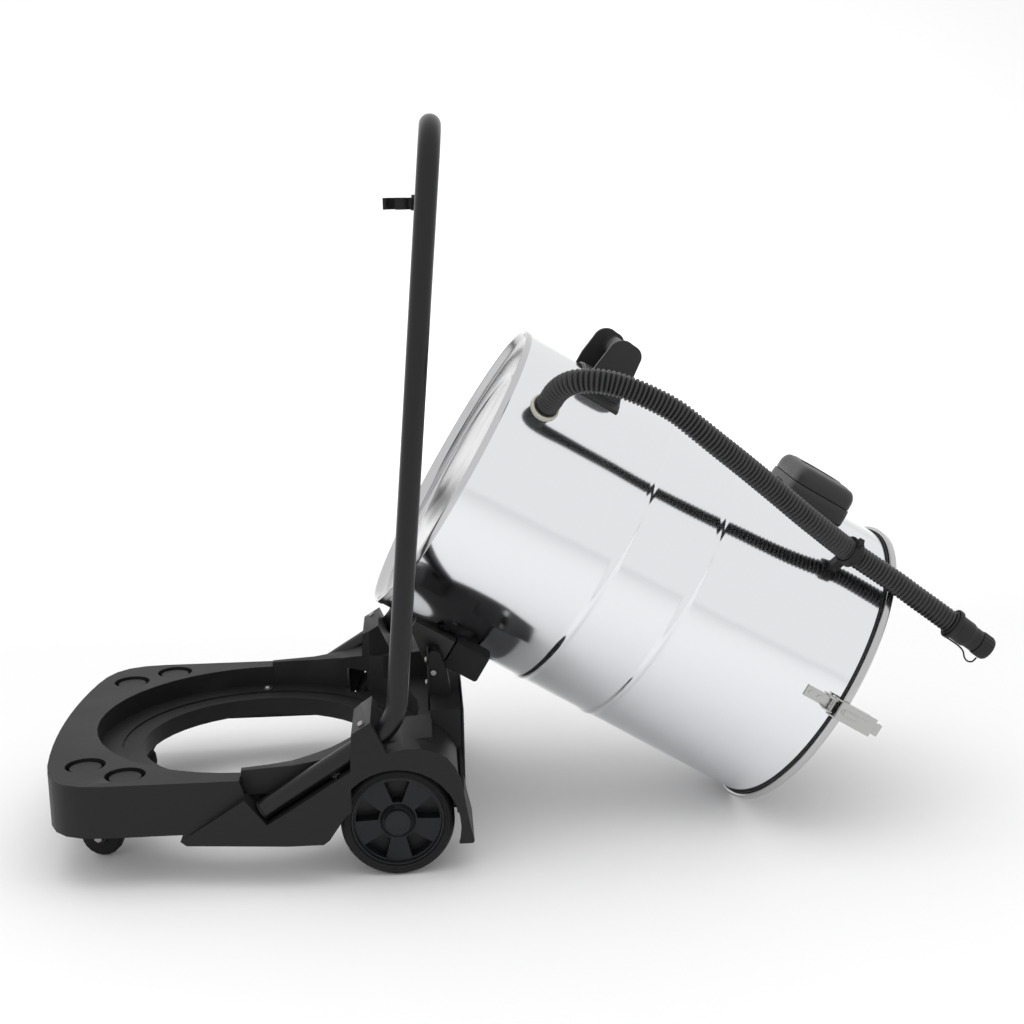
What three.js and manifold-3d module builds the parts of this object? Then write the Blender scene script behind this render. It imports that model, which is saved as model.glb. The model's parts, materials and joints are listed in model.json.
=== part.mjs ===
// Tip-and-pour shop vacuum: a moulded trolley with a push handle, and a stainless tank that tilts on a
// rear hinge to empty itself. The suction head is off, so the tank is open. Millimetres, +Z up.
// -X is the trolley's nose, +X the side the tank tips over, -Y the side with the drain hose.
import * as THREE from 'three';
import { mergeVertices } from 'three/addons/utils/BufferGeometryUtils.js';
import Module from 'manifold-3d';

const wasm = await Module();
wasm.setup();

// ---- driving dimensions --------------------------------------------------------------------------
const CENTRE_X = -324.2; // puts the middle of the footprint on X = 0; all else is from the seat centre
const GAP = 0.4; // clearance kept between pieces that touch

// Trolley
const DECK_TOP = 147;
const DECK_HALF = 262; // half the width of the deck
const NOSE_X = -282;
const NOSE_SKIRT = 75; // height of the skirt's lower edge at the nose
const WALL = 5; // moulded wall thickness
const SEAT_RADIUS = 232;
const SEAT_FLOOR = 117;
const SEAT_HOLE = 170;
const SIDE_FACE = 281; // outer face of the side panels and the wheel arches
const ARCH_INNER = 172;
const REAR_X = 290; // back of the rear wall

// Running gear
const WHEEL_RADIUS = 76;
const WHEEL_X = 201;
const WHEEL_INNER = 210;
const WHEEL_OUTER = 256;
const WELL_RADIUS = 84;
const AXLE_RADIUS = 8;
const CASTER_RADIUS = 30;
const CASTER_X = -190; // swivel axis
const CASTER_Y = 142;
const CASTER_TRAIL = 20;
const CASTER_TURN = 12; // degrees the casters stand turned
const CASTER_TOP = 78;

// Push handle
const TUBE_RADIUS = 14;
const TUBE_BORE = 12.3;
const HANDLE_Y = 258;
const LEG_START = [27, 105];
const LEG_CORNER = [203, 215];
const HANDLE_TOP = [270, 980];

// Tank, in its upright stance, and its hinge
const TIP = 121; // degrees the tank is tipped over
const PIVOT_X = 254.5;
const PIVOT_Z = 234;
const TANK_BOTTOM = 117.5;
const TANK_RADIUS = 220;
const TANK_LENGTH = 617;
const SHEET = 1.2;
const RIB_HEIGHTS = [235, 346];
const RIM_RADIUS = 227.5;
const PIN_RADIUS = 4;

// Drain hose
const HOSE_RADIUS = 16.5;
const STUB_HEIGHT = 56; // above the tank's bottom
const STUB_ANGLE = 46; // degrees round from the tank's front towards -Y

// ---- materials -----------------------------------------------------------------------------------
const finishes = {
  moulded_black: { color: 0x2c2d2f, roughness: 0.62, metalness: 0 },
  panel_black: { color: 0x34353a, roughness: 0.5, metalness: 0 },
  gloss_tube: { color: 0x17181a, roughness: 0.28, metalness: 0.1 },
  tread_rubber: { color: 0x202124, roughness: 0.8, metalness: 0 },
  mirror_steel: { color: 0xd9dcdf, roughness: 0.07, metalness: 1 },
  zinc_steel: { color: 0xb9bcbe, roughness: 0.3, metalness: 1 },
  black_steel: { color: 0x1d1e1f, roughness: 0.4, metalness: 0.5 },
  hose_black: { color: 0x1f2123, roughness: 0.5, metalness: 0 },
  pale_seal: { color: 0xc9c5b4, roughness: 0.6, metalness: 0 },
};

const vacuum = new THREE.Group();
vacuum.position.x = CENTRE_X;

// The tank group hangs on the hinge pin: inside it, pieces stand as they do with the tank upright.
const tank = new THREE.Group();
tank.position.set(PIVOT_X, 0, PIVOT_Z);
tank.rotation.y = THREE.MathUtils.degToRad(TIP);
vacuum.add(tank);

// ---- solids --------------------------------------------------------------------------------------
function solidOf(geometry) {
  geometry.deleteAttribute('normal');
  geometry.deleteAttribute('uv');
  const merged = mergeVertices(geometry, 1e-4);
  const spots = merged.attributes.position.array;
  const corners = Uint32Array.from(merged.index.array);
  if (signedVolume(spots, corners) < 0) corners.reverse();
  const solid = new wasm.Manifold(new wasm.Mesh({ numProp: 3, vertProperties: spots, triVerts: corners }));
  return solid;
}

function signedVolume(spots, corners) {
  const [a, b, c] = [new THREE.Vector3(), new THREE.Vector3(), new THREE.Vector3()];
  let total = 0;
  for (let i = 0; i < corners.length; i += 3) {
    a.fromArray(spots, 3 * corners[i]);
    b.fromArray(spots, 3 * corners[i + 1]);
    c.fromArray(spots, 3 * corners[i + 2]);
    total += a.dot(b.cross(c)) / 6;
  }
  return total;
}

function geometryOf(solid) {
  const mesh = solid.getMesh();
  const geometry = new THREE.BufferGeometry();
  geometry.setAttribute('position', new THREE.BufferAttribute(Float32Array.from(mesh.vertProperties), 3));
  geometry.setIndex(new THREE.BufferAttribute(Uint32Array.from(mesh.triVerts), 1));
  geometry.computeVertexNormals();
  return geometry;
}

function place(name, finish, solid, parent = vacuum) {
  const mesh = new THREE.Mesh(geometryOf(solid), new THREE.MeshStandardMaterial(finishes[finish]));
  mesh.name = name;
  parent.add(mesh);
}

function joined(...solids) {
  return solids.reduce((sum, solid) => sum.add(solid));
}

function box([x0, x1], [y0, y1], [z0, z1]) {
  const geometry = new THREE.BoxGeometry(x1 - x0, y1 - y0, z1 - z0);
  return solidOf(geometry.translate((x0 + x1) / 2, (y0 + y1) / 2, (z0 + z1) / 2));
}

// A round bar along 'x', 'y' or 'z', centred on a point.
function rod(radius, length, axis, [x, y, z], sides = 32) {
  const geometry = new THREE.CylinderGeometry(radius, radius, length, sides);
  if (axis === 'z') geometry.rotateX(Math.PI / 2);
  if (axis === 'x') geometry.rotateZ(Math.PI / 2);
  return solidOf(geometry.translate(x, y, z));
}

// A turned solid about Z; the profile is [radius, height] pairs round one closed loop.
function turned(profile, sides = 64) {
  const loop = [...profile, profile[0]].map(([r, z]) => new THREE.Vector2(r, z));
  return solidOf(new THREE.LatheGeometry(loop, sides).rotateX(Math.PI / 2));
}

function outline(points) {
  return new THREE.Shape(points.map(([a, b]) => new THREE.Vector2(a, b)));
}

// An outline in plan, raised from z0 to z1.
function plate(shape, z0, z1, curveSegments = 12) {
  const geometry = new THREE.ExtrudeGeometry(shape, { depth: z1 - z0, bevelEnabled: false, curveSegments });
  return solidOf(geometry.translate(0, 0, z0));
}

// A side-view outline in X and Z, spread from y0 to y1.
function slab(shape, y0, y1, curveSegments = 12) {
  const geometry = new THREE.ExtrudeGeometry(shape, { depth: y1 - y0, bevelEnabled: false, curveSegments });
  return solidOf(geometry.rotateX(Math.PI / 2).translate(0, y1, 0));
}

// A section carried along a curve.
function swept(shape, curve, steps) {
  const settings = { steps, extrudePath: curve, bevelEnabled: false, curveSegments: 3 };
  return solidOf(new THREE.ExtrudeGeometry(shape, settings));
}

function mirrored(solid) {
  return solid.mirror([0, 1, 0]);
}

function roundShape(radius, bore = 0, sides = 12) {
  const spots = (r, turn) => Array.from({ length: sides }, (_, i) => {
    const angle = (turn * 2 * Math.PI * i) / sides;
    return new THREE.Vector2(r * Math.cos(angle), r * Math.sin(angle));
  });
  const shape = new THREE.Shape(spots(radius, 1));
  if (bore > 0) shape.holes.push(new THREE.Path(spots(bore, -1)));
  return shape;
}

// A rounded rectangle standing on its middle.
function roundedRectangle(width, height, radius) {
  const [w, h, r] = [width / 2, height / 2, radius];
  const shape = new THREE.Shape();
  shape.moveTo(-w + r, -h);
  shape.lineTo(w - r, -h);
  shape.absarc(w - r, -h + r, r, -Math.PI / 2, 0);
  shape.lineTo(w, h - r);
  shape.absarc(w - r, h - r, r, 0, Math.PI / 2);
  shape.lineTo(-w + r, h);
  shape.absarc(-w + r, h - r, r, Math.PI / 2, Math.PI);
  shape.lineTo(-w, -h + r);
  shape.absarc(-w + r, -h + r, r, Math.PI, 1.5 * Math.PI);
  return shape;
}

// A run of key points; a swept piece steps from one to the next, so straights take a single step.
class KeyedRoute extends THREE.Curve {
  constructor(points) {
    super();
    this.points = points;
  }

  getPoint(t, target = new THREE.Vector3()) {
    const spot = t * (this.points.length - 1);
    const i = Math.min(Math.floor(spot + 1e-9), this.points.length - 2);
    return target.copy(this.points[i]).lerp(this.points[i + 1], spot - i);
  }

  getPointAt(t, target) {
    return this.getPoint(t, target);
  }

  getTangentAt(t) {
    const i = Math.round(t * (this.points.length - 1));
    const before = this.points[Math.max(i - 1, 0)];
    const after = this.points[Math.min(i + 1, this.points.length - 1)];
    const here = this.points[i];
    const into = i > 0 ? here.clone().sub(before).normalize() : new THREE.Vector3();
    const out = i < this.points.length - 1 ? after.clone().sub(here).normalize() : new THREE.Vector3();
    return into.add(out).normalize();
  }
}

// Corner points joined by straights, with each inner corner rounded to a radius in a few steps.
function filleted(corners, radius, steps) {
  const points = [corners[0]];
  for (let i = 1; i < corners.length - 1; i += 1) {
    const back = corners[i - 1].clone().sub(corners[i]).normalize();
    const on = corners[i + 1].clone().sub(corners[i]).normalize();
    const half = back.angleTo(on) / 2;
    const axis = on.clone().cross(back).normalize();
    const centre = back.clone().add(on).normalize().multiplyScalar(radius / Math.sin(half)).add(corners[i]);
    const start = back.multiplyScalar(radius / Math.tan(half)).add(corners[i]);
    const arm = start.clone().sub(centre);
    const turn = Math.PI - 2 * half;
    for (let k = 0; k <= steps; k += 1) {
      points.push(arm.clone().applyAxisAngle(axis, (turn * k) / steps).add(centre));
    }
  }
  points.push(corners[corners.length - 1]);
  return points;
}

// One side of the push handle: up the slanting leg, round its corner and up to the crossbar.
function handleLine(side) {
  return [LEG_START, LEG_CORNER, HANDLE_TOP].map(([x, z]) => new THREE.Vector3(x, side * HANDLE_Y, z));
}

// ---- trolley base --------------------------------------------------------------------------------
// Plan of the deck: a bowed nose, rounded shoulders and straight sides that run back to the rear wall.
function deckPlan(inset) {
  const half = DECK_HALF - inset;
  const nose = NOSE_X + inset;
  const shape = new THREE.Shape();
  shape.moveTo(REAR_X - inset, -half);
  shape.lineTo(-178, -half);
  shape.bezierCurveTo(nose + 44, -half, nose + 24, -half + 26, nose + 14, -176 + inset);
  shape.bezierCurveTo(nose + 3, -110, nose, -50, nose, 0);
  shape.bezierCurveTo(nose, 50, nose + 3, 110, nose + 14, 176 - inset);
  shape.bezierCurveTo(nose + 24, half - 26, nose + 44, half, -178, half);
  shape.lineTo(REAR_X - inset, half);
  return shape;
}

// The shell of the deck, open below, with the seat ring hung inside it.
function deckShell() {
  const skin = plate(deckPlan(0), NOSE_SKIRT, DECK_TOP, 5);
  const hollow = plate(deckPlan(WALL), NOSE_SKIRT - 1, DECK_TOP - WALL, 5);
  const seatRing = turned(
    [
      [SEAT_HOLE, 88],
      [SEAT_HOLE + WALL, 88],
      [SEAT_HOLE + WALL, SEAT_FLOOR - WALL - 3],
      [SEAT_RADIUS - 1, SEAT_FLOOR - WALL - 3],
      [SEAT_RADIUS - 1, 88],
      [SEAT_RADIUS + WALL, 88],
      [SEAT_RADIUS + WALL, DECK_TOP],
      [SEAT_HOLE, DECK_TOP],
    ],
    44,
  );
  const ringRoom = rod(SEAT_RADIUS + WALL / 2, 200, 'z', [0, 0, 150], 44);
  return skin.subtract(hollow).subtract(ringRoom).add(seatRing);
}

// The wall round the back of the seat, which climbs from the deck to the rear wall.
const COLLAR_TOP = [[-3, 154], [64, 158], [113, 166], [152, 177], [190, 185], [REAR_X - 40, 190]];

function collar() {
  const side = outline([[-3, 120], ...COLLAR_TOP, [REAR_X - 40, 120]]);
  const wall = slab(side, -DECK_HALF, DECK_HALF);
  const core = plate(deckPlan(DECK_HALF - 243), 110, 400, 5);
  return joined(wall.intersect(core)).subtract(box([-400, REAR_X], [-150, 150], [0, 400]));
}

// A side panel: it starts flush with the deck at a slanting crease and swells out to the wheel arch.
const CHANNEL_EDGE = [[3, 124], [19, 104], [31, 89.5], [142, 159.6]];

function sidePanel() {
  const outer = outline([[-84, 66], ...CHANNEL_EDGE, [142, 104], [134, 98], [112, 66], [104, 60], [-76, 60]]);
  const inner = outline([[-66, 50], [2, 116], [18, 97], [30, 82.5], [137, 149.5], [137, 108], [127, 97], [104, 50]]);
  const swell = outline([[-90, -DECK_HALF], [-84, -DECK_HALF - 1], [60, -SIDE_FACE], [150, -SIDE_FACE],
    [150, -236], [-90, -236]]);
  const skin = slab(outer, -SIDE_FACE, -236).intersect(plate(swell, 0, 300));
  const room = slab(inner, -SIDE_FACE, -236 - WALL).intersect(plate(swell, 0, 300).translate([0, WALL, 0]));
  return skin.subtract(room);
}

// A wheel arch with the boss that carries the handle's leg in front of it.
const ARCH_LINE = [[142, 161], [145, 211], [170, 226.5], [190, 183], [212, 188], [234, 188], [252, 183],
  [268, 174], [279, 160], [286, 141], [296, 83], [302, 56], [300, 53], [282, 53], [276, 98], [122, 98]];
const ARCH_ROOM = [[128, 40], [128, 140], [150, 150], [188, 172], [212, 183], [233, 183], [249, 178],
  [264, 170], [274, 158], [281, 140], [291, 83], [296, 40]];

function wheelArch() {
  const skin = slab(outline(ARCH_LINE), -SIDE_FACE, -ARCH_INNER);
  const well = rod(WELL_RADIUS, 60, 'y', [WHEEL_X, -SIDE_FACE, WHEEL_RADIUS], 32);
  return skin.subtract(well);
}

// The rear wall, hollow at the back, with two towers that hold the hinge pin.
const TOWER_INNER = 75;
const TOWER_OUTER = 103;
const REAR_WALL_TOP = 203;
const REAR_FRONT = 248.6;

function rearWall() {
  const wall = box([REAR_FRONT, REAR_X], [-ARCH_INNER - 2, ARCH_INNER + 2], [60, REAR_WALL_TOP]);
  const room = box([REAR_FRONT + WALL, REAR_X + 1], [-ARCH_INNER + 3, ARCH_INNER - 3], [55, REAR_WALL_TOP - WALL]);
  const shell = wall.subtract(room);
  const tower = outline([[REAR_FRONT, 190], [REAR_FRONT, 262], [254, 266], [264, 262], [274, 232], [280, 190]]);
  const towers = [-1, 1].map((side) => {
    const [a, b] = side < 0 ? [-TOWER_OUTER, -TOWER_INNER] : [TOWER_INNER, TOWER_OUTER];
    return slab(tower, a, b);
  });
  return joined(shell, ...towers);
}

const RECESSES = [[-217, 180], [-157, 222]];

// An annular groove in the deck round a low disc, with a pad under it.
function deckPad(x, y) {
  return rod(32, 14, 'z', [x, y, DECK_TOP - WALL - 5], 16);
}

function deckGroove(x, y) {
  const floor = DECK_TOP - 11;
  const profile = [[21, floor], [27, floor], [27, DECK_TOP + 1], [21, DECK_TOP + 1]];
  const discStep = rod(21.5, 6, 'z', [0, 0, DECK_TOP], 20);
  return turned(profile, 20).add(discStep).translate([x, y, 0]);
}

function legDirection() {
  return new THREE.Vector2(LEG_CORNER[0] - LEG_START[0], LEG_CORNER[1] - LEG_START[1]).normalize();
}

// The room in the boss for the near leg and its bend.
function legBore() {
  const points = filleted(handleLine(-1), 62, 4);
  return swept(roundShape(TUBE_RADIUS + GAP, 0, 12), new KeyedRoute(points), points.length - 1);
}

function casterBoss(y) {
  const top = DECK_TOP - WALL + 2;
  return rod(24, top - CASTER_TOP, 'z', [CASTER_X, y, (top + CASTER_TOP) / 2], 20);
}

function trolleyBase() {
  const sides = sidePanel().add(wheelArch());
  let base = joined(deckShell(), collar(), sides, mirrored(sides), rearWall());
  for (const side of [-1, 1]) {
    base = base.add(casterBoss(side * CASTER_Y));
    for (const [x, y] of RECESSES) base = base.add(deckPad(x, side * y));
  }
  const seat = rod(SEAT_RADIUS, 300, 'z', [0, 0, SEAT_FLOOR + 150], 44);
  const step = rod(199, 300, 'z', [0, 0, SEAT_FLOOR - 2.5 + 150], 44);
  const hole = rod(SEAT_HOLE, 300, 'z', [0, 0, 100], 44);
  const wheelBay = box([118, 286], [-SIDE_FACE + WALL, -ARCH_INNER - WALL], [20, 150]);
  const channel = slab(outline([[-4, 400], [-4, 147], ...CHANNEL_EDGE, [142, 400]]), -300, -243);
  const behindLeg = slab(outline([[170, 400], [170, 228], [190, 183], [212, 400]]), -300, -243);
  const pin = rod(PIN_RADIUS + GAP, 260, 'y', [PIVOT_X, 0, PIVOT_Z], 16);
  const axle = rod(AXLE_RADIUS + GAP, 500, 'y', [WHEEL_X, 0, WHEEL_RADIUS], 16);
  const seatWall = rod(SEAT_RADIUS + WALL, 300, 'z', [0, 0, 150], 44);
  const archRoom = slab(outline(ARCH_ROOM), -SIDE_FACE + WALL, -ARCH_INNER - WALL).subtract(seatWall);
  const socket = rod(6.5, 40, 'z', [CASTER_X, -CASTER_Y, CASTER_TOP + 18], 20);
  const cuts = [wheelBay, archRoom, channel, behindLeg, socket, legBore()];
  for (const cut of cuts) base = base.subtract(cut).subtract(mirrored(cut));
  for (const cut of [seat, step, hole, pin, axle]) base = base.subtract(cut);
  for (const [x, y] of RECESSES) {
    base = base.subtract(deckGroove(x, y)).subtract(deckGroove(x, -y));
  }
  return base;
}


// ---- pieces fixed to the trolley -----------------------------------------------------------------
function rearPanel() {
  const board = roundedRectangle(2 * ARCH_INNER - 12, 128, 6);
  const sheet = new THREE.ExtrudeGeometry(board, { depth: 4, bevelEnabled: false, curveSegments: 4 });
  return solidOf(sheet.rotateX(Math.PI / 2).rotateZ(Math.PI / 2).translate(REAR_X + GAP, 0, 136));
}

// Steel leaf screwed to the inside of the rear wall: high at both ends, low where the tank's ears pass.
const LEAF_X = 245.7;
const LEAF_SCREWS = [[-92, 250], [-92, 216], [92, 250], [92, 216]];

function hingePlate() {
  const half = [[0, 205], [-70, 205], [-77, 214], [-77, 262], [-84, 272], [-100, 272], [-104, 258],
    [-101, 246], [-106, 232], [-106, 196], [-98, 176], [-84, 190], [-60, 186], [-40, 172], [0, 172]];
  const face = [...half, ...half.slice(1, -1).reverse().map(([y, z]) => [-y, z])];
  const leaf = new THREE.ExtrudeGeometry(outline(face), { depth: 2.5, bevelEnabled: false });
  leaf.rotateX(Math.PI / 2);
  leaf.rotateZ(Math.PI / 2);
  let plateSolid = solidOf(leaf.translate(LEAF_X, 0, 0));
  for (const [y, z] of LEAF_SCREWS) plateSolid = plateSolid.subtract(rod(3.2, 20, 'x', [LEAF_X, y, z], 12));
  return plateSolid;
}

// A round-headed screw seen from its head: shank along -Z from the origin, head above it.
function screw(headRadius, headHeight, shankRadius, shankLength) {
  const profile = [
    [0, -shankLength],
    [shankRadius, -shankLength],
    [shankRadius, 0],
    [headRadius, 0],
    [headRadius * 0.75, headHeight * 0.85],
    [0, headHeight],
  ];
  return turnedToAxis(profile, 12);
}

// A turned solid whose profile starts and ends on the axis.
function turnedToAxis(profile, sides) {
  const points = profile.map(([r, z]) => new THREE.Vector2(r, z));
  return solidOf(new THREE.LatheGeometry(points, sides).rotateX(Math.PI / 2));
}

place('trolley_base', 'moulded_black', trolleyBase());
place('rear_panel', 'panel_black', rearPanel());
place('hinge_plate', 'black_steel', hingePlate());
place('hinge_pin', 'zinc_steel', rod(PIN_RADIUS, 2 * TOWER_OUTER + 6, 'y', [PIVOT_X, 0, PIVOT_Z], 16));
LEAF_SCREWS.forEach(([y, z], i) => {
  const bolt = screw(5, 3, 2.6, 1.6).rotate([0, -90, 0]).translate([LEAF_X - GAP, y, z]);
  place(`hinge_screw_${i + 1}`, 'zinc_steel', bolt);
});
for (const [side, name] of [[-1, 'near'], [1, 'far']]) {
  const seated = screw(5.5, 3.4, 3, 2).translate([-10, side * 208.5, SEAT_FLOOR + 2 + GAP]);
  const washer = rod(7.5, 1.6, 'z', [-10, side * 208.5, SEAT_FLOOR + GAP + 0.8], 16);
  place(`seat_screw_${name}`, 'zinc_steel', seated.add(washer));
}

// ---- push handle ---------------------------------------------------------------------------------
function pushHandle() {
  const points = filleted([...handleLine(-1), ...handleLine(1).reverse()], 62, 4);
  return swept(roundShape(TUBE_RADIUS, TUBE_BORE, 12), new KeyedRoute(points), points.length - 1);
}

// A plastic plug closes each lower end of the tube.
function handlePlug() {
  const along = legDirection();
  const spot = (d) => new THREE.Vector3(LEG_START[0] + along.x * d, -HANDLE_Y, LEG_START[1] + along.y * d);
  const cap = swept(roundShape(TUBE_RADIUS - 0.2, 0, 12), new THREE.LineCurve3(spot(-4), spot(-GAP)), 1);
  const stem = swept(roundShape(TUBE_BORE - 1, 0, 12), new THREE.LineCurve3(spot(-2), spot(14)), 1);
  return cap.add(stem);
}

// A screw through the boss holds each leg; its head shows on the slanting top face.
function clampScrew() {
  const along = legDirection();
  const slope = THREE.MathUtils.radToDeg(Math.atan2(along.y, along.x));
  const spot = [157.5, -HANDLE_Y - 6, 218.8];
  return screw(5.2, 3, 2.8, 0.3).rotate([0, -slope, 0]).translate([spot[0] - 0.3, spot[1], spot[2] + 0.7]);
}

// A spring clip on the far upright holds the wand: a saddle round the tube and an open hook.
function wandClip() {
  const [x, z] = [262, 877];
  const saddle = turned([[TUBE_RADIUS + 0.8, -12], [TUBE_RADIUS + 5, -12], [TUBE_RADIUS + 5, 12],
    [TUBE_RADIUS + 0.8, 12]], 20).rotate([0, 5, 0]).translate([x - 1, HANDLE_Y, z]);
  const arm = box([x - 27, x - 17], [HANDLE_Y - 7, HANDLE_Y + 7], [z - 9, z + 9]);
  const hook = turned([[16, -9], [20.5, -9], [20.5, 9], [16, 9]], 20).translate([x - 43, HANDLE_Y, z]);
  const mouth = box([x - 70, x - 44], [HANDLE_Y - 30, HANDLE_Y - 4], [z - 20, z + 20]);
  return joined(saddle, arm, hook.subtract(mouth));
}

place('push_handle', 'gloss_tube', pushHandle());
place('handle_plug_near', 'moulded_black', handlePlug());
place('handle_plug_far', 'moulded_black', mirrored(handlePlug()));
place('clamp_screw_near', 'zinc_steel', clampScrew());
place('clamp_screw_far', 'zinc_steel', mirrored(clampScrew()));
place('wand_clip', 'moulded_black', wandClip());

// ---- running gear --------------------------------------------------------------------------------
// A turned piece about Y, for the near side; the profile is [radius, distance from the middle plane].
function turnedOnAxle(profile, sides, closed = true) {
  const blank = closed ? turned(profile, sides) : turnedToAxis(profile, sides);
  return blank.rotate([90, 0, 0]).translate([WHEEL_X, 0, WHEEL_RADIUS]);
}

// The wheel's moulded centre: a disc with five deep pockets between wide spokes.
function wheelCentre() {
  const blank = turnedOnAxle(
    [[AXLE_RADIUS + GAP, WHEEL_INNER], [62, WHEEL_INNER], [62, 252], [59.5, 252], [58.5, 247], [24, 248.5],
      [20, 254], [AXLE_RADIUS + GAP, 254]],
    32,
  );
  let centre = blank;
  for (let i = 0; i < 5; i += 1) {
    const middle = Math.PI / 2 + (i * 2 * Math.PI) / 5;
    const spread = 0.31;
    const pocket = new THREE.Shape();
    pocket.absarc(WHEEL_X, WHEEL_RADIUS, 56.5, middle - spread, middle + spread, false);
    pocket.absarc(WHEEL_X, WHEEL_RADIUS, 26, middle + spread * 0.75, middle - spread * 0.75, true);
    centre = centre.subtract(slab(pocket, -260, -228, 2));
  }
  return centre;
}

function tyre() {
  const [inner, outer] = [WHEEL_INNER, WHEEL_OUTER];
  return turnedOnAxle(
    [[62.4, inner + 1], [68, inner], [73, inner + 2], [76, inner + 8], [76, outer - 8], [73, outer - 2],
      [68, outer], [62.4, outer - 2]],
    32,
  );
}

function hubCap() {
  return turnedOnAxle([[0, 254.4], [19, 254.4], [18, 258], [12, 261.5], [0, 262.5]], 20, false);
}

place('rear_axle', 'zinc_steel', rod(AXLE_RADIUS, 2 * 253, 'y', [WHEEL_X, 0, WHEEL_RADIUS], 16));
for (const [turnedOver, name] of [[false, 'near'], [true, 'far']]) {
  const set = { rear_wheel: wheelCentre(), rear_tyre: tyre(), hub_cap: hubCap() };
  for (const [piece, solid] of Object.entries(set)) {
    const finish = piece === 'rear_tyre' ? 'tread_rubber' : 'panel_black';
    place(`${piece}_${name}`, finish, turnedOver ? mirrored(solid) : solid);
  }
}

// Front casters: a race and stem pressed into the base, a fork that swivels, and a wheel on its bolt.
function casterRace() {
  return turnedToAxis([[0, CASTER_TOP - 5], [22, CASTER_TOP - 5], [22, CASTER_TOP - GAP], [6, CASTER_TOP - GAP],
    [6, CASTER_TOP + 32], [0, CASTER_TOP + 32]], 20);
}

function casterFork() {
  const crown = rod(21, 4, 'z', [0, 0, CASTER_TOP - 5 - GAP - 2], 20);
  const cheekLine = outline([[-18, 70], [-28, 33], [-26, 24], [-18, 21], [-12, 24], [12, 62], [14, 70]]);
  const cheeks = [[-15, -12.5], [12.5, 15]].map(([a, b]) => slab(cheekLine, a, b));
  const bore = rod(3.5 + GAP, 60, 'y', [-CASTER_TRAIL, 0, CASTER_RADIUS], 12);
  return joined(crown, ...cheeks).subtract(bore);
}

function casterWheel() {
  const blank = turned([[3.9, -12], [9, -12], [11, -9], [27, -9], [CASTER_RADIUS, -4], [CASTER_RADIUS, 4],
    [27, 9], [11, 9], [9, 12], [3.9, 12]], 20);
  return blank.rotate([90, 0, 0]).translate([-CASTER_TRAIL, 0, CASTER_RADIUS]);
}

function casterBolt() {
  const shank = rod(3.5, 33, 'y', [-CASTER_TRAIL, 0, CASTER_RADIUS], 12);
  const ends = [-1, 1].map((side) => rod(6, 3.2, 'y', [-CASTER_TRAIL, side * 17.2, CASTER_RADIUS], 6));
  return joined(shank, ...ends);
}

for (const [side, name] of [[-1, 'near'], [1, 'far']]) {
  const standing = (solid) => solid.rotate([0, 0, side * CASTER_TURN]).translate([CASTER_X, side * CASTER_Y, 0]);
  place(`caster_race_${name}`, 'zinc_steel', standing(casterRace()));
  place(`caster_fork_${name}`, 'black_steel', standing(casterFork()));
  place(`caster_wheel_${name}`, 'tread_rubber', standing(casterWheel()));
  place(`caster_bolt_${name}`, 'zinc_steel', standing(casterBolt()));
}

// ---- tank ----------------------------------------------------------------------------------------
// The drum group's origin is the middle of the tank's bottom and its +Z is the tank's axis.
const drum = new THREE.Group();
drum.position.set(-PIVOT_X, 0, TANK_BOTTOM - PIVOT_Z);
tank.add(drum);

// A spot on the tank: height above its bottom, distance from its axis, degrees from its front to -Y.
function onTank(height, radius, degrees) {
  const angle = THREE.MathUtils.degToRad(degrees);
  return new THREE.Vector3(-radius * Math.cos(angle), -radius * Math.sin(angle), height);
}

// A piece made standing on Z = 0 about the Z axis is laid on the tank's wall, pointing outwards.
function outFrom(solid, height, degrees) {
  return solid.rotate([0, 90, 0]).rotate([0, 0, 180 + degrees]).translate([0, 0, height]);
}

// The rolled ribs: a smooth swell of the sheet.
const RIB_HALF = 12;
const RIB_RISE = 4;
const TANK_SIDES = 40;

function wallLine(radius) {
  const line = [[radius, 3]];
  for (const rib of RIB_HEIGHTS) {
    line.push([radius, rib - RIB_HALF]);
    line.push([radius + RIB_RISE, rib - RIB_HALF / 3]);
    line.push([radius + RIB_RISE, rib + RIB_HALF / 3]);
    line.push([radius, rib + RIB_HALF]);
  }
  line.push([radius, TANK_LENGTH - 3]);
  return line;
}

const INLET_HEIGHT = 481;
const INLET_BORE = 33;

function tankShell() {
  const wall = turned([...wallLine(TANK_RADIUS), ...wallLine(TANK_RADIUS - SHEET).reverse()], TANK_SIDES);
  const inletHole = outFrom(rod(INLET_BORE, 60, 'z', [0, 0, 220], 24), INLET_HEIGHT, 0);
  const drainHole = outFrom(rod(14.5, 60, 'z', [0, 0, 220], 20), STUB_HEIGHT, STUB_ANGLE);
  return wall.subtract(inletHole).subtract(drainHole);
}

// Pressed bottom: a shallow dish with a channel round its edge that the wall is seamed into.
function tankBottom() {
  return turnedToAxis([[0, 17], [150, 17], [158, 13.6], [205, 13.6], [213, 10], [218.2, 0], [221.4, 0],
    [221.4, 9], [220.5, 9], [220.5, 1.4], [219.2, 1.4], [214.4, 11.4], [206, 15], [159, 15], [151, 18.4],
    [0, 18.4]], TANK_SIDES);
}

function rimBand() {
  const top = TANK_LENGTH;
  return turned([[220.5, top - 12], [RIM_RADIUS, top - 12], [RIM_RADIUS, top - 2.5], [225, top], [219, top],
    [216, top - 2.4], [216, top - 10], [218, top - 10], [218, top - 2.5], [220.5, top - 2.5]], TANK_SIDES);
}

function rimGasket() {
  const top = TANK_LENGTH - 12 - GAP;
  return turned([[220.5, top - 2.4], [222.6, top - 2.4], [222.6, top], [220.5, top]], TANK_SIDES);
}

function fit(name, finish, solid) {
  place(name, finish, solid, drum);
}

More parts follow.
